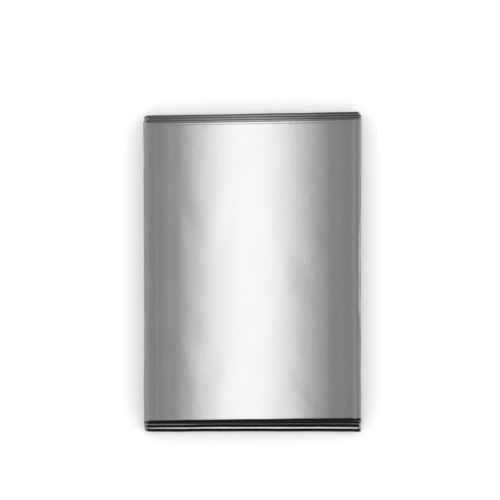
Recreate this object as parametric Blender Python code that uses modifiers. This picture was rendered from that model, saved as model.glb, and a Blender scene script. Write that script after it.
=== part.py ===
"""Emergency foil blanket, folded into a flat pack and lying on its back.

The blanket is one sheet of metallised polyester film. It is pleated lengthwise into a strip as wide as
the pack, and the strip is folded back and forth into eight panels. The solid is that strip: one
section that runs panel by panel from the free end of the front panel, over the bends at alternate ends,
to the free end of the back panel. Its thickness stands for the pleats of film that lie in one panel.

Frame: metres, +Z up. X runs across the pack, +Y towards its upper end, and the origin is on the
surface under the middle of the pack.
"""

from math import cos, pi, sin

import bmesh
import bpy

MM = 0.001

# Driving dimensions
STRIP_WIDTH = 87.5 * MM        # across the pack
STRIP_THICKNESS = 1.05 * MM    # the pleats of film in one panel, pressed together
CROWN = 1.4 * MM               # how much higher the pack stands along its middle than at its sides
CROWN_POWER = 2.2              # 2 is a plain arch, more keeps the middle flatter
SWELL = 0.7 * MM               # how much higher it stands halfway along than at its pressed ends
WAIST = 0.3 * MM               # how much narrower a panel is halfway along than at its folds
BOW = 0.15 * MM                # how far a fold's outer edge is drawn in at its middle
HOLLOW = 0.005 * MM            # rise of the back panel between its corners, so that all four touch

# A row for each fold, in the order in which the strip runs from the front panel down.
#   end    +1 at the pack's upper end, -1 at its lower end
#   left   how far the fold's outer edge lies from the pack's middle at the strip's left side, mm
#   right  the same at its right side, mm
#   shift  how far the strip lies to the right of the pack's middle there, mm
#   gap    space between the two panels that the fold joins, at the pack's sides, mm
# The first and last rows are the strip's free ends, which join nothing.
FOLDS = (
    {"end": -1, "left": 61.5, "right": 60.5, "shift": 0.05, "gap": 0.00},
    {"end": +1, "left": 61.5, "right": 62.9, "shift": -0.20, "gap": 0.42},
    {"end": -1, "left": 62.1, "right": 61.8, "shift": 0.15, "gap": 0.36},
    {"end": +1, "left": 62.6, "right": 64.1, "shift": 0.30, "gap": 0.40},
    {"end": -1, "left": 63.6, "right": 63.3, "shift": -0.15, "gap": 0.34},
    {"end": +1, "left": 63.7, "right": 65.3, "shift": -0.30, "gap": 0.38},
    {"end": -1, "left": 65.4, "right": 65.4, "shift": 0.20, "gap": 0.32},
    {"end": +1, "left": 63.0, "right": 64.3, "shift": 0.00, "gap": 0.34},
    {"end": -1, "left": 64.4, "right": 63.9, "shift": -0.10, "gap": 0.00},
)
PANELS = len(FOLDS) - 1
BENDS = PANELS - 1

# Fineness of the faceted solid
COLUMNS = 12            # faces across the strip
PANEL_STEPS = 6         # faces along a panel's run
BEND_STEPS = 7          # faces around a bend

FOIL_COLOUR = (0.71, 0.72, 0.74, 1.0)
FOIL_ROUGHNESS = 0.22


def clear_scene():
    for item in list(bpy.data.objects):
        bpy.data.objects.remove(item, do_unlink=True)


def make_foil_material():
    material = bpy.data.materials.new("metallised_polyester_film")
    material.use_nodes = True
    shader = material.node_tree.nodes["Principled BSDF"]
    shader.inputs["Base Color"].default_value = FOIL_COLOUR
    shader.inputs["Metallic"].default_value = 1.0
    shader.inputs["Roughness"].default_value = FOIL_ROUGHNESS
    return material


def blend(low, high, share):
    return low + (high - low) * share


def loft_gap(share, across):
    """Extra space between two panels, share of the way along and across of the way from the left."""
    from_middle = abs(2.0 * across - 1.0)
    crown = CROWN * (1.0 - from_middle ** CROWN_POWER)
    swell = SWELL * 4.0 * share * (1.0 - share)
    return (crown + swell) / BENDS


def panel_height(panel, share, across):
    """Height of a panel's middle surface; panel 0 is the front one, and the last one lies flat."""
    at_corner = ((2.0 * across - 1.0) * (2.0 * share - 1.0)) ** 2
    height = STRIP_THICKNESS / 2 + HOLLOW * (1.0 - at_corner)
    for fold in FOLDS[panel + 1:PANELS]:
        height += STRIP_THICKNESS + fold["gap"] * MM + loft_gap(share, across)
    return height


def bend_radius(fold, across):
    """Radius of a fold's middle surface: half the height between the two panels that it joins."""
    if fold in (0, PANELS):
        return 0.0
    return (panel_height(fold - 1, 1.0, across) - panel_height(fold, 0.0, across)) / 2


def straight_end(fold, across):
    """Y at which the straight run stops short of a fold, so that the bend's outside meets its row."""
    row = FOLDS[fold]
    outer_edge = blend(row["left"], row["right"], across) * MM - BOW * 4.0 * across * (1.0 - across)
    bend_depth = bend_radius(fold, across)
    if bend_depth:
        bend_depth += STRIP_THICKNESS / 2
    return row["end"] * (outer_edge - bend_depth)


def shifted_x(along, across):
    """X of a point, where along counts the folds passed since the free end of the front panel."""
    fold = min(int(along), PANELS - 1)
    share = along - fold
    shift = blend(FOLDS[fold]["shift"], FOLDS[fold + 1]["shift"], share) * MM
    width = STRIP_WIDTH - WAIST * 4.0 * share * (1.0 - share)
    return shift + (across - 0.5) * width


def panel_point(panel, share, across):
    """Point on a panel, share of the way from one of its folds to the next."""
    y = blend(straight_end(panel, across), straight_end(panel + 1, across), share)
    return shifted_x(panel + share, across), y, panel_height(panel, share, across)


def bend_point(fold, turn, across):
    """Point on a bend, turn running from 0 where it leaves one panel to pi where it meets the next."""
    radius = bend_radius(fold, across)
    y = straight_end(fold, across) + FOLDS[fold]["end"] * radius * sin(turn)
    z = panel_height(fold, 0.0, across) + radius * (1.0 + cos(turn))
    return shifted_x(fold, across), y, z


def strip_stations():
    """The strip's run as a list of (function, which one, how far), a station for each grid line."""
    stations = []
    for panel in range(PANELS):
        stations += [(panel_point, panel, step / PANEL_STEPS) for step in range(PANEL_STEPS + 1)]
        if panel < BENDS:
            stations += [(bend_point, panel + 1, pi * step / BEND_STEPS) for step in range(1, BEND_STEPS)]
    return stations


def make_folded_strip(name, material):
    """A flat grid whose points are moved onto the folded run, then given the strip's thickness."""
    stations = strip_stations()
    rows = len(stations) - 1
    grid = bmesh.new()
    bmesh.ops.create_grid(grid, x_segments=COLUMNS, y_segments=rows, size=0.5)
    for vertex in grid.verts:
        across = vertex.co.x + 0.5
        point_on, which, how_far = stations[round((vertex.co.y + 0.5) * rows)]
        vertex.co = point_on(which, how_far, across)
    mesh = bpy.data.meshes.new(name)
    grid.to_mesh(mesh)
    grid.free()
    mesh.materials.append(material)
    mesh.shade_smooth()
    mesh.set_sharp_from_angle(angle=pi / 4)

    strip = bpy.data.objects.new(name, mesh)
    solid = strip.modifiers.new("strip thickness", "SOLIDIFY")
    solid.thickness = STRIP_THICKNESS
    solid.offset = 0.0
    solid.use_even_offset = True
    return strip


def main():
    clear_scene()
    collection = bpy.data.collections.new("emergency_foil_blanket")
    bpy.context.scene.collection.children.link(collection)
    collection.objects.link(make_folded_strip("foil_blanket", make_foil_material()))


main()
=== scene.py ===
"""Emergency foil blanket: the whole sheet of metallised film, folded into its pack, and its studio.

The sheet is 1.321 x 2.083 m. It is pleated into 15 plies as wide as the pack, the pleated strip is
doubled, and the doubled strip is folded back and forth into eight panels. One mesh holds all of it,
as a grid: a column for each place across the flat sheet and a row for each place along it. The strip
follows the folds of the solid that this piece replaces.

Frame: metres, +Z up. X runs across the pack, +Y towards its upper end.
"""

from math import cos, pi, sin, tau

import bpy
import numpy as np
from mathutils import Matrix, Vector


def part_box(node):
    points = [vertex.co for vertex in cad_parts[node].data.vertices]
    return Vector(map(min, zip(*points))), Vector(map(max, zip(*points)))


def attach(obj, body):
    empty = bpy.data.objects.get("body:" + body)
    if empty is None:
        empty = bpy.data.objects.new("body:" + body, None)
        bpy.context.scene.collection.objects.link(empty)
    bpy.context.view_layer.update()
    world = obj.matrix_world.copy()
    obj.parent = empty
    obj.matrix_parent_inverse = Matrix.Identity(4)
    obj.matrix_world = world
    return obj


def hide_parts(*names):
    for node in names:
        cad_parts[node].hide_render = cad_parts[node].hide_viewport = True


MM = 0.001

# The sheet as cut, and how it is folded
CUT_WIDTH = 1.321
CUT_LENGTH = 2.083
PLIES = 15                     # pleats across the sheet's width

# The folded strip, as in the solid
STRIP_WIDTH = 87.5 * MM
STRIP_THICKNESS = 1.05 * MM
CROWN = 1.4 * MM               # how much higher the pack stands along its middle than at its sides
CROWN_POWER = 2.2              # 2 is a plain arch, more keeps the middle flatter
SWELL = 0.7 * MM               # how much higher it stands halfway along than at its pressed ends
WAIST = 0.3 * MM               # how much narrower a panel is halfway along than at its folds
BOW = 0.15 * MM                # how far a fold's outer edge is drawn in at its middle
HOLLOW = 0.005 * MM            # rise of the back panel between its corners

# A row for each fold, in the order in which the strip runs from the front panel down.
#   end    +1 at the pack's upper end, -1 at its lower end
#   left   how far the fold's outer edge lies from the pack's middle at the strip's left side, mm
#   right  the same at its right side, mm
#   shift  how far the strip lies to the right of the pack's middle there, mm
#   gap    space between the two panels that the fold joins, at the pack's sides, mm
# The first row is the doubled end of the strip, and the last one its two cut ends.
FOLDS = (
    {"end": -1, "left": 61.5, "right": 60.5, "shift": 0.05, "gap": 0.00},
    {"end": +1, "left": 61.5, "right": 62.9, "shift": -0.20, "gap": 0.42},
    {"end": -1, "left": 62.1, "right": 61.8, "shift": 0.15, "gap": 0.36},
    {"end": +1, "left": 62.6, "right": 64.1, "shift": 0.30, "gap": 0.40},
    {"end": -1, "left": 63.6, "right": 63.3, "shift": -0.15, "gap": 0.34},
    {"end": +1, "left": 63.7, "right": 65.3, "shift": -0.30, "gap": 0.38},
    {"end": -1, "left": 65.4, "right": 65.4, "shift": 0.20, "gap": 0.32},
    {"end": +1, "left": 63.0, "right": 64.3, "shift": 0.00, "gap": 0.34},
    {"end": -1, "left": 64.4, "right": 63.9, "shift": -0.10, "gap": 0.00},
)
PANELS = len(FOLDS) - 1
LAST_PANEL = PANELS - 1
BENDS = PANELS - 1
PANEL_RUN = 122 * MM           # length of a panel between its bends, near enough
PANEL_WAVER = 0.08 * MM        # how far an inner panel lies above or below its even place
PANEL_SKEW = 1.3               # how much higher the key of that waver is at its right side
FOLD_WAVER = 0.06 * MM         # how far a fold's outer edge strays from its row in the table

# Small wrinkles that run round a bend
PUCKER = 0.10                  # share of its height by which a ply rides up or sinks over a bend
PUCKER_FINENESS = 5.0          # the wrinkles are this many times shorter than the waves of waver
PUCKER_FADING = 0.45           # their strength swings by this to each side of its mean, up to 1
PUCKER_LEAN = 0.8 * MM         # how far one leans, at most, in each radian of the bend
PUCKER_LEAN_LENGTH = tau / 5 * MM    # how far apart two lie that lean alike

DOUBLED_PRESS = 0.5            # share of the strip's thickness that is pressed out at its doubled end
DOUBLED_REACH = 0.5 * MM       # how far from that end the press is down to a third

# How the plies lie in the strip
PLY_SPREAD = 1.20 * MM         # from its front ply to its back one: they stand a little off the solid
OUTER_PLY_GAP = 0.36           # the outer ply stands off the rest by this share of half the thickness
INNER_PLY_GAP = 0.04           # and the innermost off the strip's middle by this one
SPACING_LEAST = 0.25           # the spaces between are drawn from this to 1,
SPACING_POWER = 1.6            # and raised to this power, so that the small ones are smaller
SPACING_WAVER = 0.7            # share of itself by which a space grows and shrinks along the strip
SPACING_SKEW = 1.2             # how much higher the key of that waver is at the right side
EDGE_PRESS = 0.30              # share of its height that a ply loses as it rolls into its side fold
EDGE_ROLL = 1.1 * MM           # width of that roll
STACK_ROUND = 0.55 * MM        # outer plies are narrower than the innermost, on each side, by this
PLEAT_SCATTER = 0.30 * MM      # how unevenly the side folds were pressed, one against another
PLEAT_WAVER = 0.24 * MM        # how far one strays along the strip
CUT_SCATTER = 0.20 * MM        # how unevenly the plies' cut ends lie
CUT_STEP = 1.2 * MM            # how far the lowest cut end stands out past the highest
CUT_PRESS = 0.35               # share of the panel's thickness that is pressed out at the cut ends
CUT_SUDDENNESS = 14            # power of the way along the panel with which these come in
CUT_LIP = 0.03 * MM            # each ply's cut end turns down onto the one below, over this length

# Long soft creases of the front ply, left by the machine that pleated it. Millimetres.
#   lower, upper   place across the pack at its lower and upper end
#   height         above the ply, less than 0 for a trough
#   width          of the crease, from its top to where it is down to 60 %
CREASES = (
    {"lower": -44.2, "upper": -44.0, "height": -0.080, "width": 1.30},
    {"lower": -39.6, "upper": -39.9, "height": 0.012, "width": 0.75},
    {"lower": -33.5, "upper": -32.0, "height": -0.012, "width": 1.60},
    {"lower": 34.8, "upper": 33.9, "height": -0.012, "width": 1.50},
    {"lower": 42.5, "upper": 42.3, "height": -0.080, "width": 0.90},
)

# The one crease across the front ply, beside its upper fold: how far up it lies at its left and right
# end, and its height and width as above. Millimetres.
CROSS_CREASE = {"left": 59.5, "right": 60.8, "height": -0.024, "width": 0.20}

# Faint unevenness of the front ply, which fades towards its sides and its upper end. Millimetres.
FACE_WAVER = 0.018             # how far the ply's middle lies above or below its even place
FACE_WAVER_REACH = 27.0        # how far from the middle, to either side, it is down to a third
FACE_WAVER_TOP = 52.0          # how far up the ply it ends,
FACE_WAVER_FADE = 25.0         # and over what length it fades there
FACE_WAVER_SLANT = 0.4         # its waves run across the ply, and slant by this
FACE_WAVER_DRIFT = 1.1         # how far their key wanders on the way across

# How finely the sheet's grid is drawn
DOUBLED_STEPS = 8              # faces round the doubled end,
OUTSIDE_STEPS = 12             # round the outside of a bend,
INSIDE_STEPS = 6               # and round its inside
INNER_MARGIN = 0.3 * MM        # from the fold of a hidden panel to the first row beside it
INNER_ROW_COUNT = 9            # its rows, besides the two at its folds

# How the bake map is shared out, most of it to what shows. The shares are scaled to fill the map.
BAKE_MARGIN = 0.002
FRONT_PLY_SHARE = 0.62         # of the map's width, to the front ply
FRONT_PANEL_SHARE = 0.50       # of its height, to the front panel's outer face,
BACK_PANEL_SHARE = 0.18        # to the back panel's outer face,
OTHER_ROW_SHARE = 0.32 / 230   # and to each of the other rows

# The film's finish
FILM_ROUGHNESS = (0.10, 0.13)  # from where its coat is clearest to where it is haziest
HAZE_SIZE = 14 * MM            # width of its hazy patches
CRINKLE_SIZE = 4 * MM          # and of its crinkles
CRINKLE_DEPTH = 0.02 * MM
CRINKLE_STRENGTH = 0.4         # share of that depth which shows
MEASURED_COLUMN = 20           # a column of the front ply, along which the flat film is measured

# The photograph's frame: its side in pixels, and where the pack lies in it
FRAME_PIXELS = 500
PACK_LEFT, PACK_RIGHT = 144.0, 361.0
PACK_MIDDLE_ROW = 271.8
OUTLINE_HEIGHT = 8 * MM        # height at which the pack's outline lies, near enough
LENS = 200.0                   # focal length in mm; the camera then stands about 1.1 m above the pack
SENSOR_WIDTH = 36.0            # in mm

# Studio
FLOOR_DROP = 0.2 * MM
FLOOR_RINGS = (0.0, 0.3, 1.0)  # radii of the rings of the floor's grid
FLOOR_RADIUS = 2.2
WALL_SWEEP = 0.8               # radius of the sweep from the floor up into the wall
WALL_HEIGHT = 2.5
BACKDROP_SIDES = 96
SWEEP_STEPS = 12
FLOOR_LIGHT = 2.8              # strength of the light on the board, in watts per square metre
FLOOR_LIGHT_ANGLE = 2.0        # how wide that light looks from the pack, in radians
CORNER_REACH = 0.95            # how far out the corner softboxes stand from the pack's middle
CORNER_HEIGHT = 0.55

# The dome that the foil mirrors: how bright it is at an angle from straight up, in degrees.
# END_TONES runs from below (-180) over the lower end's horizon (-90) and the top (0) to the upper
# end's horizon (90) and below again, SIDE_TONES the same from left to right, and CORNER_TONES down
# from the top between them.
END_TONES = (
    (-180, 0.42), (-150, 0.34), (-128, 0.12), (-100, 0.05), (-88, 0.20), (-80, 0.34), (-70, 0.56),
    (-60, 0.40), (-48, 0.24), (-37, 0.38), (-26, 0.06), (-12, 0.00), (-7, 0.30), (7, 0.40), (14, 0.12),
    (20, 0.12), (32, 0.40), (46, 0.24), (60, 0.40), (70, 0.56), (78, 0.40), (83, 0.30), (88, 0.06),
    (104, 0.03), (128, 0.12), (150, 0.34), (180, 0.42),
)
SIDE_TONES = (
    (-180, 0.35), (-94, 0.40), (-86, 0.60), (-60, 0.50), (-45, 0.32), (-17, 0.34), (-11, 0.27),
    (-8.6, 0.21), (-7.5, 0.23), (-6.5, 0.33), (-5.5, 0.50), (-4.5, 0.73), (-3.5, 0.97), (-2.0, 1.25),
    (1.7, 1.25), (3.0, 0.89), (4.0, 0.70), (5.0, 0.50), (6.0, 0.36), (7.0, 0.25), (8.1, 0.21),
    (11, 0.25), (17, 0.34), (42, 0.34), (54, 0.52), (64, 0.62), (78, 0.74), (86, 0.66), (98, 0.80),
    (112, 0.40), (130, 0.12), (180, 0.35),
)
CORNER_TONES = (
    (0, 0.20), (20, 0.28), (40, 0.45), (60, 0.52), (72, 0.36), (81, 0.24), (87, 0.60), (98, 0.85),
    (110, 0.40), (126, 0.10), (150, 0.25), (180, 0.42),
)

# Each of the first two tables holds near its own plane, and CORNER_TONES takes over further off: from
# where to where it does so, as the sine of a direction's angle off the plane. Near the top, where the
# two planes cross, SIDE_TONES holds.
END_BLEND = (0.17, 0.27)
SIDE_BLEND = (0.13, 0.22)

# Cards bent round the pack's ends, which only the foil mirrors. They darken its bends, and leave the
# dome light for its face.
#   end          as in the table of folds
#   start, stop  where the card's bend begins and ends, in degrees from straight above its axis
#   tones        how bright it is, in mm from the pack's middle to the right
CARD_RADIUS = 20 * MM
CARD_AXIS_Y, CARD_AXIS_Z = 63 * MM, 7 * MM
CARD_STEPS = 16                # faces round a card's bend
CARD_EDGE = 60                 # how far a card reaches to each side, mm
CARDS = (
    {"name": "black card", "end": -1, "start": 13, "stop": 100, "tones": (
        (-CARD_EDGE, 0.01), (CARD_EDGE, 0.01),
    )},
    {"name": "grey card", "end": +1, "start": 12, "stop": 66, "tones": (
        (-CARD_EDGE, 0.12), (-36, 0.15), (-26, 0.25), (-12, 0.40), (0, 0.46), (12, 0.38), (24, 0.24),
        (34, 0.15), (CARD_EDGE, 0.09),
    )},
    {"name": "dark card", "end": +1, "start": 66, "stop": 90, "tones": (
        (-CARD_EDGE, 0.06), (0, 0.14), (30, 0.03), (CARD_EDGE, 0.03),
    )},
)

# Sockets of a node that mixes two colours. They go by number, because their names repeat.
MIX_SHARE, MIX_FIRST, MIX_SECOND, MIX_RESULT = 0, 6, 7, 2

SEED = 7
WAVE_LENGTHS = (23 * MM, 41 * MM, 97 * MM)
KEY_STEP = 1.7                 # how a key is spread over the starts of these waves


def blend(low, high, share):
    return low + (high - low) * share


def arch(share):
    """0 at both ends of a stretch, and 1 halfway along it."""
    return 4.0 * share * (1.0 - share)


def soft_line(from_line, width):
    """1 on a line, falling softly to 0 on both sides."""
    return np.exp(-(from_line / width) ** 2 / 2)


def waver(place, key):
    """Smooth unevenness along a length, -1 to 1: the mean of a few long waves.

    The key sets where the waves start. Each caller makes its keys from a number of its own, so that no
    two things waver alike.
    """
    waves = [np.sin(tau * place / length + key * (KEY_STEP + number))
             for number, length in enumerate(WAVE_LENGTHS)]
    return sum(waves) / len(waves)


# ---------------------------------------------------------------- folds of the strip

def loft_gap(share, across):
    """Extra space between two panels, share of the way along and across of the way from the left."""
    from_middle = np.abs(2.0 * across - 1.0)
    crown = CROWN * (1.0 - from_middle ** CROWN_POWER)
    swell = SWELL * arch(share)
    return (crown + swell) / BENDS


def panel_height(panel, share, across):
    """Height of a panel's middle surface; panel 0 is the front one, and the last one lies flat."""
    at_corner = ((2.0 * across - 1.0) * (2.0 * share - 1.0)) ** 2
    height = STRIP_THICKNESS / 2 + HOLLOW * (1.0 - at_corner)
    for fold in FOLDS[panel + 1:PANELS]:
        height = height + STRIP_THICKNESS + fold["gap"] * MM + loft_gap(share, across)
    if 0 < panel < LAST_PANEL:
        height = height + PANEL_WAVER * waver(share * PANEL_RUN, 3.1 * panel + PANEL_SKEW * across)
    return height


def bend_radius(fold, across):
    """Radius of a fold's middle surface: half the height between the two panels that it joins."""
    return (panel_height(fold - 1, 1.0, across) - panel_height(fold, 0.0, across)) / 2


def straight_end(fold, across):
    """Y at which a panel's straight run stops short of a fold, so that the fold's outside meets its row."""
    row = FOLDS[fold]
    outer_edge = blend(row["left"], row["right"], across) * MM - BOW * arch(across)
    outer_edge = outer_edge + FOLD_WAVER * waver(across * STRIP_WIDTH, 2.3 * fold)
    if fold == 0:
        depth = PLY_SPREAD / 2 * (1.0 - DOUBLED_PRESS)
    elif fold == PANELS:
        depth = 0.0
    else:
        depth = bend_radius(fold, across) + PLY_SPREAD / 2
    return row["end"] * (outer_edge - depth)


def shifted_x(along, x):
    """X of a place that lies x to the right of the strip's middle line.

    along counts the folds passed since the doubled end.
    """
    fold = min(int(along), LAST_PANEL)
    share = along - fold
    shift = blend(FOLDS[fold]["shift"], FOLDS[fold + 1]["shift"], share) * MM
    return shift + x * (1.0 - WAIST / STRIP_WIDTH * arch(share))


def middle_line(row, across):
    """Y and Z of the strip's middle surface along one row of the sheet, and which way its front faces."""
    kind, which, how_far = row["kind"], row["which"], row["how_far"]
    flat = 0.0 * across
    if kind == "panel":
        y = blend(straight_end(which, across), straight_end(which + 1, across), how_far)
        facing = 1.0 if which % 2 == 0 else -1.0
        return y, panel_height(which, how_far, across), flat, flat + facing
    if kind == "doubled end":
        y = straight_end(0, across)
        return y, panel_height(0, 0.0, across), flat + FOLDS[0]["end"] * sin(how_far), flat + cos(how_far)
    end = FOLDS[which]["end"]
    radius = bend_radius(which, across)
    y = straight_end(which, across) + end * radius * sin(how_far)
    z = panel_height(which, 0.0, across) + radius * (1.0 + cos(how_far))
    facing = 1.0 if which % 2 == 1 else -1.0
    return y, z, flat + facing * end * sin(how_far), flat + facing * cos(how_far)


def pucker(x, turn, fold):
    """Small uneven wrinkles, -1 to 1, that run round a bend; each leans a little to one side."""
    lean = PUCKER_LEAN * np.sin(tau * x / PUCKER_LEAN_LENGTH + fold) * (turn - pi / 2)
    strength = 1.0 - PUCKER_FADING + PUCKER_FADING * waver(x, 2.7 * fold)
    return waver(PUCKER_FINENESS * (x + lean), 1.9 * fold) * strength


# ---------------------------------------------------------------- rows and columns of the sheet

def spaced(length, fine, coarse, margin):
    """Places from 0 to 1 along a length, fine ones within a margin of its ends and coarse ones between."""
    near_end = np.arange(0.0, margin, fine)
    steps = round((length - 2 * margin) / coarse)
    between = np.linspace(margin, length - margin, steps + 1)
    return np.concatenate([near_end, between, length - near_end[::-1]]) / length


# Rows along a panel, and columns across a ply, as shares of its length and of its width
FRONT_ROWS = spaced(PANEL_RUN, fine=0.15 * MM, coarse=2.5 * MM, margin=2.4 * MM)
BACK_ROWS = spaced(PANEL_RUN, fine=1.5 * MM, coarse=3.0 * MM, margin=6 * MM)
INNER_PLACES = np.linspace(INNER_MARGIN, PANEL_RUN - INNER_MARGIN, INNER_ROW_COUNT)
INNER_ROWS = np.concatenate([[0.0], INNER_PLACES / PANEL_RUN, [1.0]])
CUT_ROWS = 1.0 - np.array([6 * MM, 3 * MM, 1.2 * MM, CUT_LIP]) / PANEL_RUN
FRONT_COLUMNS = spaced(STRIP_WIDTH, fine=0.35 * MM, coarse=1.7 * MM, margin=7 * MM)
INNER_COLUMNS = np.array([0.0, 0.005, 0.015, 0.19, 0.40, 0.60, 0.81, 0.985, 0.995, 1.0])


def sheet_rows():
    """The rows from one cut end to the other: half A inwards, round the doubled end, half B outwards.

    side is +1 on half A, whose plies lie on the strip's front, and -1 on half B, on its back.
    """
    rows = []
    for panel in reversed(range(PANELS)):
        shares = {0: FRONT_ROWS, LAST_PANEL: cut_ended(BACK_ROWS)}.get(panel, INNER_ROWS)
        rows += [{"kind": "panel", "which": panel, "how_far": share, "side": 1} for share in shares[::-1]]
        if panel > 0:
            rows += bend_rows(panel, side=1, inwards=True)
    turns = [pi * step / DOUBLED_STEPS for step in range(1, DOUBLED_STEPS)]
    rows += [{"kind": "doubled end", "which": 0, "how_far": turn, "side": 1} for turn in turns]
    for panel in range(PANELS):
        shares = cut_ended(INNER_ROWS) if panel == LAST_PANEL else INNER_ROWS
        rows += [{"kind": "panel", "which": panel, "how_far": share, "side": -1} for share in shares]
        if panel < LAST_PANEL:
            rows += bend_rows(panel + 1, side=-1, inwards=False)
    return rows


def cut_ended(rows):
    """The rows of the last panel, with finer ones where it nears its cut end."""
    return np.sort(np.concatenate([rows, CUT_ROWS]))


def bend_rows(fold, side, inwards):
    """Rows round one bend, more of them where this half of the sheet lies on its outside."""
    outside = side * FOLDS[fold]["end"] > 0
    steps = OUTSIDE_STEPS if outside else INSIDE_STEPS
    turns = [pi * step / steps for step in range(1, steps)]
    if inwards:
        turns.reverse()
    return [{"kind": "bend", "which": fold, "how_far": turn, "side": side} for turn in turns]


def sheet_columns():
    """The columns from the sheet's left cut edge to its right one, ply by ply.

    A ply's columns hold its number and how far across it they lie from its first side. A fold column,
    which stands between two plies, has the number of the ply before it plus a half.
    """
    ply, along_ply = [], []
    for number in range(PLIES):
        places = FRONT_COLUMNS if number == 0 else INNER_COLUMNS
        ply += [float(number)] * len(places)
        along_ply += list(places)
        if number < PLIES - 1:
            ply.append(number + 0.5)
            along_ply.append(1.0)
    return np.array(ply), np.array(along_ply)


# ---------------------------------------------------------------- plies in the strip

class Stack:
    """Where the plies of one half of the doubled strip lie, from its outer face to the strip's middle."""

    def __init__(self, random):
        self.spacing = random.uniform(SPACING_LEAST, 1.0, PLIES - 2) ** SPACING_POWER
        self.spacing_keys = random.uniform(0.0, tau, PLIES - 2)
        self.edge_scatter = random.uniform(-1.0, 1.0, PLIES + 1) * PLEAT_SCATTER
        self.edge_scatter[0] = 0.0
        self.edge_keys = random.uniform(0.0, tau, PLIES + 1)
        self.cut_scatter = random.uniform(-1.0, 1.0, PLIES) * CUT_SCATTER

    def depth(self, run, across):
        """Height of each ply off the strip's middle, as a share of half the thickness."""
        change = SPACING_WAVER * waver(run, self.spacing_keys + SPACING_SKEW * across)
        spacing = self.spacing * (1.0 + change)
        spacing = spacing / spacing.sum() * (1.0 - OUTER_PLY_GAP - INNER_PLY_GAP)
        return 1.0 - np.concatenate([[0.0], [OUTER_PLY_GAP], OUTER_PLY_GAP + np.cumsum(spacing)])

    def half_widths(self, run, depth):
        """Distance of each side fold from the strip's middle line; the first and last are the cut edges."""
        height = np.concatenate([[depth[0]], (depth[1:] + depth[:-1]) / 2, [depth[-1]]])
        rounding = STACK_ROUND * (1.0 - np.sqrt(np.clip(1.0 - height ** 2, 0.0, 1.0)))
        return STRIP_WIDTH / 2 - rounding + self.edge_scatter + PLEAT_WAVER * waver(run, self.edge_keys)


def ply_places(stack, run, ply, along_ply):
    """For one row: how far across the strip each column lies, as x, and its height off the middle.

    run is the row's place along the flat sheet, in metres from its doubled end.
    """
    before = np.floor(ply).astype(int)
    is_fold = ply % 1.0 > 0.0
    depth_left = stack.depth(run, 0.0)
    depth_right = stack.depth(run, 1.0)
    half = stack.half_widths(run, (depth_left + depth_right) / 2)

    starts_left = before % 2 == 0
    across = np.where(starts_left, along_ply, 1.0 - along_ply)
    x_left = -np.where(starts_left, half[before], half[before + 1])
    x_right = np.where(starts_left, half[before + 1], half[before])
    x = blend(x_left, x_right, across)

    height = blend(depth_left[before], depth_right[before], across) * PLY_SPREAD / 2
    from_edge = np.minimum(x - x_left, x_right - x)
    rolled = 1.0 - np.clip(from_edge / EDGE_ROLL, 0.0, 1.0)
    height = height * (1.0 - EDGE_PRESS * (1.0 - np.sqrt(1.0 - rolled ** 2)))

    folds = np.nonzero(is_fold)[0]
    loop = (height[folds - 1] - height[folds + 1]) / 2
    x[folds] += np.sign(x[folds]) * loop
    height[folds] = (height[folds - 1] + height[folds + 1]) / 2
    return x, height


# ---------------------------------------------------------------- relief of the front ply

def front_relief(x, y):
    """Height that the creases and the faint unevenness add to the front ply, in metres."""
    relief = CROSS_CREASE["height"] * soft_line(y / MM - cross_crease_y(x), CROSS_CREASE["width"])
    relief += FACE_WAVER * face_waver_share(x, y) * face_waves(x, y)
    for crease in CREASES:
        middle = blend(crease["lower"], crease["upper"], y / PANEL_RUN + 0.5)
        relief += crease["height"] * soft_line(x / MM - middle, crease["width"])
    return relief * MM


def cross_crease_y(x):
    return blend(CROSS_CREASE["left"], CROSS_CREASE["right"], x / STRIP_WIDTH + 0.5)


def face_waver_share(x, y):
    """1 over the middle of the front ply, falling to 0 towards its sides and its upper end."""
    between_sides = np.exp(-(x / MM / FACE_WAVER_REACH) ** 4)
    return between_sides * np.clip((FACE_WAVER_TOP - y / MM) / FACE_WAVER_FADE, 0.0, 1.0)


def face_waves(x, y):
    return waver(y + FACE_WAVER_SLANT * x, 0.9 + FACE_WAVER_DRIFT * waver(x, 4.0))


# ---------------------------------------------------------------- the sheet as a mesh

def fold_sheet():
    """Places of the sheet's grid points once folded, as an array of rows x columns x 3."""
    random = np.random.default_rng(SEED)
    stacks = {1: Stack(random), -1: Stack(random)}
    ply, along_ply = sheet_columns()
    return np.stack([fold_row(stacks, row, ply, along_ply) for row in sheet_rows()])


def fold_row(stacks, row, ply, along_ply):
    """Places of one row's points once folded, as an array of columns x 3."""
    kind, which, how_far, side = row["kind"], row["which"], row["how_far"], row["side"]
    along = which + how_far if kind == "panel" else float(which)
    run = along * CUT_LENGTH / (2 * PANELS)
    x, height = ply_places(stacks[side], run, ply, along_ply)
    if kind == "doubled end":
        x_other, height_other = ply_places(stacks[-side], run, ply, along_ply)
        x = blend(x, x_other, how_far / pi)
        height = blend(height, height_other, how_far / pi) * (1.0 - DOUBLED_PRESS)

    across = np.clip(x / STRIP_WIDTH + 0.5, 0.0, 1.0)
    y, z, facing_y, facing_z = middle_line(row, across)
    if kind == "bend":
        height = height * (1.0 + PUCKER * sin(how_far) * pucker(x, how_far, which))
    if kind == "panel" and which == 0:
        if side == 1:
            height = height + np.where(ply == 0, front_relief(x, y), 0.0)
        near_doubled_end = np.exp(-(how_far * PANEL_RUN / DOUBLED_REACH) ** 2)
        height = height * (1.0 - DOUBLED_PRESS * near_doubled_end)

    y = y + facing_y * side * height
    rise = facing_z * side * height
    if kind == "panel" and which == LAST_PANEL:
        y, z = cut_end_places(stacks[side], ply, how_far, y, z, rise)
    else:
        z = z + rise
    return np.stack([shifted_x(along, x), y, np.maximum(z, 0.0)], axis=1)


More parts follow.
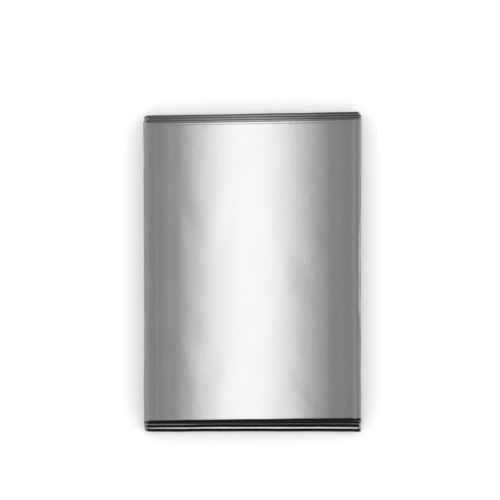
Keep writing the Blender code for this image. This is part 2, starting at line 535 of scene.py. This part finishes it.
def cut_end_places(stack, ply, how_far, y, z, rise):
    """Y and Z on the last panel, whose plies are staggered and pressed where they near their cut ends.

    rise is how far each place lies above the panel's middle surface, whose height is z.
    """
    near_cut = how_far ** CUT_SUDDENNESS
    stand_out = stack.cut_scatter[np.floor(ply).astype(int)] - CUT_STEP * rise / PLY_SPREAD
    y = y + FOLDS[PANELS]["end"] * stand_out * near_cut
    z = (z + rise) * (1.0 - CUT_PRESS * near_cut)
    if how_far == 1.0:
        z = z - PLY_SPREAD / (2 * PLIES)
    return y, z


def add_uv(mesh, name, across, along):
    """A UV map from a value for each column and one for each row."""
    layer = mesh.uv_layers.new(name=name)
    corner = np.zeros(len(mesh.loops), dtype=np.int32)
    mesh.loops.foreach_get("vertex_index", corner)
    columns = len(across)
    flat = np.stack([across[corner % columns], along[corner // columns]], axis=1)
    layer.data.foreach_set("uv", flat.ravel())


def grow(values):
    """Running total from 0 to 1 of a list of step sizes."""
    total = np.concatenate([[0.0], np.cumsum(values)])
    return total / total[-1]


def grow_in_bake_map(values):
    """The same, but from one margin of the bake map to the other."""
    return blend(BAKE_MARGIN, 1.0 - BAKE_MARGIN, grow(values))


def make_grid(name, places, material):
    """An object whose mesh is a grid of places, given as an array of rows x columns x 3."""
    rows, columns = places.shape[:2]
    corners = np.arange(rows * columns).reshape(rows, columns)
    faces = np.stack([corners[:-1, :-1], corners[:-1, 1:], corners[1:, 1:], corners[1:, :-1]], axis=2)
    mesh = bpy.data.meshes.new(name)
    mesh.from_pydata(places.reshape(-1, 3), [], faces.reshape(-1, 4).tolist())
    mesh.materials.append(material)
    mesh.shade_smooth()
    thing = bpy.data.objects.new(name, mesh)
    bpy.context.scene.collection.objects.link(thing)
    return thing


def make_sheet(material):
    """The folded sheet, with one UV map for the bake and one that gives places on the flat film.

    The flat places are measured along one row and one column, which stand for the rest.
    """
    folded = fold_sheet()
    sheet = make_grid("foil_sheet", folded, material)
    mesh = sheet.data

    ply, _ = sheet_columns()
    front_step = FRONT_PLY_SHARE / np.sum(ply == 0)
    other_step = (1.0 - FRONT_PLY_SHARE) / np.sum(ply > 0)
    column_steps = np.where(ply[:-1] == 0, front_step, other_step)
    row_steps = [row_share(row) for row in sheet_rows()[:-1]]
    add_uv(mesh, "OFBake", grow_in_bake_map(column_steps), grow_in_bake_map(row_steps))

    measured_row = len(folded) // 3
    across = np.linalg.norm(np.diff(folded[measured_row], axis=0), axis=1)
    along = np.linalg.norm(np.diff(folded[:, MEASURED_COLUMN], axis=0), axis=1)
    add_uv(mesh, "film", CUT_WIDTH * grow(across), CUT_LENGTH * grow(along))
    return sheet


def row_share(row):
    """How much of the bake map's height one row of faces gets, before the whole is scaled to fill it."""
    if row["kind"] == "panel" and row["side"] == 1 and row["which"] == 0:
        return FRONT_PANEL_SHARE / len(FRONT_ROWS)
    if row["kind"] == "panel" and row["side"] == 1 and row["which"] == LAST_PANEL:
        return BACK_PANEL_SHARE / len(BACK_ROWS)
    return OTHER_ROW_SHARE


# ---------------------------------------------------------------- materials

def linear(hex_colour):
    """An sRGB hex colour as linear red, green, blue and alpha."""
    parts = [int(hex_colour[i:i + 2], 16) / 255 for i in (1, 3, 5)]
    return [p / 12.92 if p <= 0.04045 else ((p + 0.055) / 1.055) ** 2.4 for p in parts] + [1.0]


def add_node(tree, kind, settings=None, inputs=None, links=None):
    """One node with its settings, its inputs' values, and links to its inputs from other nodes' outputs.

    An input goes by its name, or by its number where a node's names repeat.
    """
    node = tree.nodes.new(kind)
    for name, value in (settings or {}).items():
        setattr(node, name, value)
    for name, value in (inputs or {}).items():
        node.inputs[name].default_value = value
    for name, (source, output) in (links or {}).items():
        tree.links.new(source.outputs[output], node.inputs[name])
    return node


def new_material(name):
    material = bpy.data.materials.new(name)
    material.use_nodes = True
    return material, material.node_tree, material.node_tree.nodes["Principled BSDF"]


def metallised_film():
    """Polyester film with a vacuum-deposited coat of aluminium.

    The coat makes it a soft mirror, and the thin film under it gives that a fine, faint crinkle.
    """
    material, tree, shader = new_material("vacuum_metallised_polyester_film")
    shader.inputs["Base Color"].default_value = linear("#E6E7E8")
    shader.inputs["Metallic"].default_value = 1.0
    flat = add_node(tree, "ShaderNodeUVMap", {"uv_map": "film"})
    haze = add_node(tree, "ShaderNodeTexNoise", inputs={"Scale": 1 / HAZE_SIZE, "Detail": 3.0},
                    links={"Vector": (flat, "UV")})
    clearest, haziest = FILM_ROUGHNESS
    roughness = add_node(tree, "ShaderNodeMapRange", inputs={"To Min": clearest, "To Max": haziest},
                         links={"Value": (haze, "Fac")})
    tree.links.new(roughness.outputs["Result"], shader.inputs["Roughness"])
    crinkle = add_node(tree, "ShaderNodeTexNoise", inputs={"Scale": 1 / CRINKLE_SIZE, "Detail": 2.0},
                       links={"Vector": (flat, "UV")})
    bump = add_node(tree, "ShaderNodeBump",
                    inputs={"Strength": CRINKLE_STRENGTH, "Distance": CRINKLE_DEPTH},
                    links={"Height": (crinkle, "Fac")})
    tree.links.new(bump.outputs["Normal"], shader.inputs["Normal"])
    return material


def matt_board():
    """Plain white board under the pack."""
    material, _, shader = new_material("matt_white_board")
    shader.inputs["Base Color"].default_value = linear("#F1F1F0")
    shader.inputs["Roughness"].default_value = 0.7
    return material


# ---------------------------------------------------------------- studio

def make_backdrop():
    """A round floor whose rim sweeps up into a wall, so that every view has the same plain ground.

    The foil doesn't mirror it: what the foil mirrors is the dome of make_world.
    """
    turns = np.linspace(0.0, tau, BACKDROP_SIDES + 1)
    sweep = np.linspace(0.0, pi / 2, SWEEP_STEPS + 1)
    sweep_reach = FLOOR_RADIUS + WALL_SWEEP * np.sin(sweep)
    sweep_rise = WALL_SWEEP * (1.0 - np.cos(sweep))
    reach = np.concatenate([FLOOR_RINGS, sweep_reach, [FLOOR_RADIUS + WALL_SWEEP]])
    rise = np.concatenate([np.zeros(len(FLOOR_RINGS)), sweep_rise, [WALL_HEIGHT]])
    places = np.stack([np.outer(reach, np.cos(turns)), np.outer(reach, np.sin(turns)),
                       np.outer(rise - FLOOR_DROP, np.ones(len(turns)))], axis=2)
    backdrop = make_grid("backdrop", places, matt_board())
    backdrop.visible_glossy = False


def add_softbox(name, place, size, radiance):
    """A rectangular light that faces the pack; its power follows from its radiance and size."""
    light = bpy.data.lights.new(name, "AREA")
    light.shape = "RECTANGLE"
    light.size, light.size_y = size
    light.energy = radiance * pi * size[0] * size[1]
    lamp = bpy.data.objects.new(name, light)
    lamp.location = place
    lamp.rotation_euler = (-Vector(place)).to_track_quat("-Z", "Y").to_euler()
    bpy.context.scene.collection.objects.link(lamp)
    return lamp


def add_floor_light():
    """Wide light from straight above for the board, left out of the foil's reflections."""
    light = bpy.data.lights.new("floor light", "SUN")
    light.angle = FLOOR_LIGHT_ANGLE
    light.energy = FLOOR_LIGHT
    lamp = bpy.data.objects.new("floor light", light)
    lamp.visible_glossy = False
    bpy.context.scene.collection.objects.link(lamp)


def add_tones(tree, value, stops, unit):
    """A grey that changes with a value, as a node and the name of its output.

    The stops are pairs of the value, in the unit given, and the grey. A colour ramp holds 32 at most.
    """
    low, high = stops[0][0], stops[-1][0]
    share = add_node(tree, "ShaderNodeMapRange", inputs={"From Min": low * unit, "From Max": high * unit},
                     links={"Value": value})
    ramp = add_node(tree, "ShaderNodeValToRGB", links={"Fac": (share, "Result")})
    elements = ramp.color_ramp.elements
    for number, (place, grey) in enumerate(stops):
        stop = elements[number] if number < 2 else elements.new(1.0)
        stop.position = (place - low) / (high - low)
        stop.color = (grey, grey, grey, 1.0)
    return ramp, "Color"


def make_world():
    """The dome that the foil mirrors: its three tables, mixed by how far a direction lies off each plane.

    Light isn't sampled from it, so that the cards, which cast no shadow, still hide it from the foil.
    """
    world = bpy.data.worlds.new("studio")
    world.use_nodes = True
    world.cycles.sampling_method = "NONE"
    bpy.context.scene.world = world
    tree = world.node_tree
    place = add_node(tree, "ShaderNodeTexCoord")
    parts = add_node(tree, "ShaderNodeSeparateXYZ", links={"Vector": (place, "Generated")})
    from_top = add_node(tree, "ShaderNodeMath", {"operation": "ARCCOSINE"}, links={0: (parts, "Z")})
    tone = add_tones(tree, (from_top, "Value"), CORNER_TONES, unit=pi / 180)
    for axis, stops, off_axis, (near, far) in (
        ("Y", END_TONES, "X", END_BLEND),
        ("X", SIDE_TONES, "Y", SIDE_BLEND),
    ):
        angle = add_node(tree, "ShaderNodeMath", {"operation": "ARCTAN2"},
                         links={0: (parts, axis), 1: (parts, "Z")})
        off = add_node(tree, "ShaderNodeMath", {"operation": "ABSOLUTE"}, links={0: (parts, off_axis)})
        weight = add_node(tree, "ShaderNodeMapRange", {"interpolation_type": "SMOOTHSTEP"},
                          inputs={"From Min": near, "From Max": far, "To Min": 1.0, "To Max": 0.0},
                          links={"Value": (off, "Value")})
        in_plane = add_tones(tree, (angle, "Value"), stops, unit=pi / 180)
        mixed = add_node(tree, "ShaderNodeMix", {"data_type": "RGBA"},
                         links={MIX_SHARE: (weight, "Result"), MIX_FIRST: tone, MIX_SECOND: in_plane})
        tone = (mixed, MIX_RESULT)
    dome, output = tone
    tree.links.new(dome.outputs[output], tree.nodes["Background"].inputs["Color"])


def card_finish(name, tones):
    """Card with a soft glow of its own, which changes across the pack."""
    material, tree, shader = new_material(name)
    shader.inputs["Base Color"].default_value = linear("#000000")
    shader.inputs["Specular IOR Level"].default_value = 0.0
    shader.inputs["Emission Strength"].default_value = 1.0
    place = add_node(tree, "ShaderNodeTexCoord")
    parts = add_node(tree, "ShaderNodeSeparateXYZ", links={"Vector": (place, "Object")})
    glow, output = add_tones(tree, (parts, "X"), tones, unit=MM)
    tree.links.new(glow.outputs[output], shader.inputs["Emission Color"])
    return material


def make_cards():
    """The cards of the table. The camera and the board don't see them, and they cast no shadow."""
    for card in CARDS:
        turns = np.radians(np.linspace(card["start"], card["stop"], CARD_STEPS + 1))
        y = card["end"] * (CARD_AXIS_Y + CARD_RADIUS * np.sin(turns))
        z = CARD_AXIS_Z + CARD_RADIUS * np.cos(turns)
        edges = [np.stack([0.0 * y + side * CARD_EDGE * MM, y, z], axis=1) for side in (-1, 1)]
        thing = make_grid(card["name"], np.stack(edges, axis=1), card_finish(card["name"], card["tones"]))
        thing.visible_camera = False
        thing.visible_diffuse = False
        thing.visible_shadow = False


def make_lights():
    """The dome, its cards, and the lights. The corner softboxes light nothing but the foil."""
    make_world()
    make_cards()
    add_floor_light()
    add_softbox("upper softbox", place=(0.0, 1.1, 1.2), size=(0.30, 0.8), radiance=0.3)
    for number in range(4):
        turn = pi / 4 + number * pi / 2
        place = (CORNER_REACH * cos(turn), CORNER_REACH * sin(turn), CORNER_HEIGHT)
        corner = add_softbox("corner softbox", place, size=(0.22, 0.50), radiance=0.6)
        corner.visible_diffuse = False
    add_softbox("upper strip light", place=(0.0, 0.8, 0.75), size=(0.35, 0.04), radiance=1.5)
    add_softbox("right strip light", place=(0.9, 0.0, 0.5), size=(0.05, 1.2), radiance=0.35)


def make_camera():
    """Straight above the pack, placed so that it fills the photograph's part of the frame."""
    low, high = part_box("foil_blanket")
    scale = (high[0] - low[0]) / (PACK_RIGHT - PACK_LEFT)
    camera = bpy.data.cameras.new("camera")
    camera.lens = LENS
    camera.sensor_width = SENSOR_WIDTH
    frame_middle = FRAME_PIXELS / 2
    right_of_middle = ((PACK_LEFT + PACK_RIGHT) / 2 - frame_middle) * scale
    below_middle = (PACK_MIDDLE_ROW - frame_middle) * scale
    distance = FRAME_PIXELS * scale * LENS / SENSOR_WIDTH
    eye = bpy.data.objects.new("camera", camera)
    eye.location = (-right_of_middle, below_middle, OUTLINE_HEIGHT + distance)
    bpy.context.scene.collection.objects.link(eye)
    bpy.context.scene.camera = eye


# ---------------------------------------------------------------- the whole scene

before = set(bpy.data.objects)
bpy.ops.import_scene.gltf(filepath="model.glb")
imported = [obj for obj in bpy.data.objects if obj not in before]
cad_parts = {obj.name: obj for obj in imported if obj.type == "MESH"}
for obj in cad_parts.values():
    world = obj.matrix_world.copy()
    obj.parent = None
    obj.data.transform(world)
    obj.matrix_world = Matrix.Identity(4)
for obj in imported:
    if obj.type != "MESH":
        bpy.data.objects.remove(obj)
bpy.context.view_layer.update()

sheet = make_sheet(metallised_film())
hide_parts("foil_blanket")
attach(sheet, "root")

make_backdrop()
make_lights()
make_camera()
bpy.context.scene.view_settings.view_transform = "Standard"
